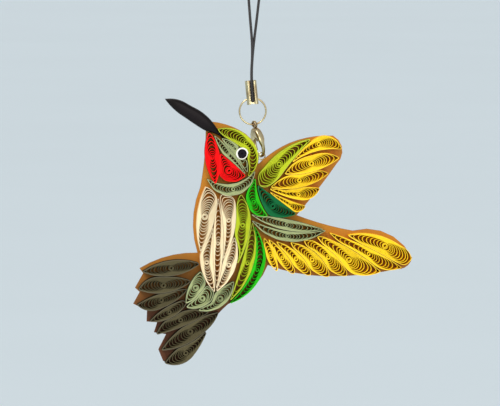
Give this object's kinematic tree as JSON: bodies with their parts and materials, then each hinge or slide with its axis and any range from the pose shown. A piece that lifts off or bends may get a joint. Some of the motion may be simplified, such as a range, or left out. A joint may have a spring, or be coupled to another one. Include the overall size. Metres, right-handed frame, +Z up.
{
  "type": "quilled paper bird charm",
  "caption": "Bird of coiled paper strips on a card backing, hung by a wire eye, clasp, round ring and folded clamp from a looped cord.",
  "frame": {"origin": "inside of the top of the cord loop, where it hangs on what holds it", "axes": "+Z up; the bird faces -Y, with its beak towards -X"},
  "size_m": [0.0843, 0.0076, 0.136],
  "materials": {
    "card": "thick golden brown card with a darker cut edge",
    "beak_black": "black paper, lightly sheened",
    "eye_white": "white paper strip, tightly rolled",
    "eye_black": "black paper strip, tightly rolled",
    "lime": "lime paper strips on edge",
    "olive": "yellow green paper strips on edge",
    "sage": "sage paper strips on edge",
    "red": "red paper strips on edge",
    "cream": "cream paper strips on edge",
    "green": "bright green paper strips on edge",
    "dark_green": "dark green paper strips on edge",
    "yellow": "yellow paper strips on edge",
    "brown": "grey brown paper strips on edge",
    "cord": "black braided cord, slightly shiny",
    "metal": "nickel plated, polished"
  },
  "bodies": {
    "strap": {"cord_loop": "cord", "cord_clamp": "metal"},
    "ring": {"jump_ring": "metal"},
    "clasp": {"clasp_body": "metal", "clasp_pin": "metal"},
    "lever": {"clasp_lever": "metal"},
    "bird": {"backing_card": "card", "beak": "beak_black", "belly_centre": "cream", "belly_lower_left": "cream", "belly_lower_right": "cream", "belly_upper_left": "cream", "belly_upper_right": "cream", "cheek_lower": "sage", "cheek_upper": "sage", "collar": "sage", "covert_lower": "sage", "covert_upper": "sage", "crown": "lime", "eye_pin": "metal", "eye_pupil": "eye_black", "eye_ring": "eye_white", "flank_edge": "green", "flank_lower": "olive", "flank_upper": "olive", "long_feather_1": "yellow", "long_feather_2": "yellow", "long_feather_3": "yellow", "long_feather_4": "yellow", "long_feather_5": "yellow", "long_feather_6": "yellow", "long_feather_7": "yellow", "long_feather_8": "yellow", "shoulder_dark": "dark_green", "shoulder_green": "green", "tail_feather_1": "brown", "tail_feather_2": "brown", "tail_feather_3": "brown", "tail_feather_4": "brown", "tail_feather_5": "brown", "tail_feather_6": "brown", "tail_feather_7": "brown", "throat_left": "red", "throat_right": "red", "vent_1": "sage", "vent_2": "sage", "vent_3": "sage", "wing_feather_1": "yellow", "wing_feather_2": "yellow", "wing_feather_3": "yellow", "wing_feather_4": "yellow", "wing_feather_5": "yellow", "wing_lead": "lime"}
  },
  "joints": [
    {"name": "ring_swing", "type": "hinge", "parent": "strap", "child": "ring", "pos_m": [-0.0002, 0.00193, -0.05517], "axis": [1, 0, 0], "range_deg": [-70, 70]},
    {"name": "clasp_swing", "type": "hinge", "parent": "ring", "child": "clasp", "pos_m": [0.00033, 0.00193, -0.0631], "axis": [1, 0, 0], "range_deg": [-50, 50]},
    {"name": "lever_press", "type": "hinge", "parent": "clasp", "child": "lever", "pos_m": [0.00037, 0.00313, -0.06616], "axis": [-0.8702, -0.454, -0.1913], "range_deg": [0, 20], "stiffness_Nm_per_rad": 0.002, "springref_deg": -11.46},
    {"name": "bird_swing", "type": "hinge", "parent": "clasp", "child": "bird", "pos_m": [0.00243, 0.00193, -0.07267], "axis": [0, 1, 0], "range_deg": [-25, 8]}
  ]
}
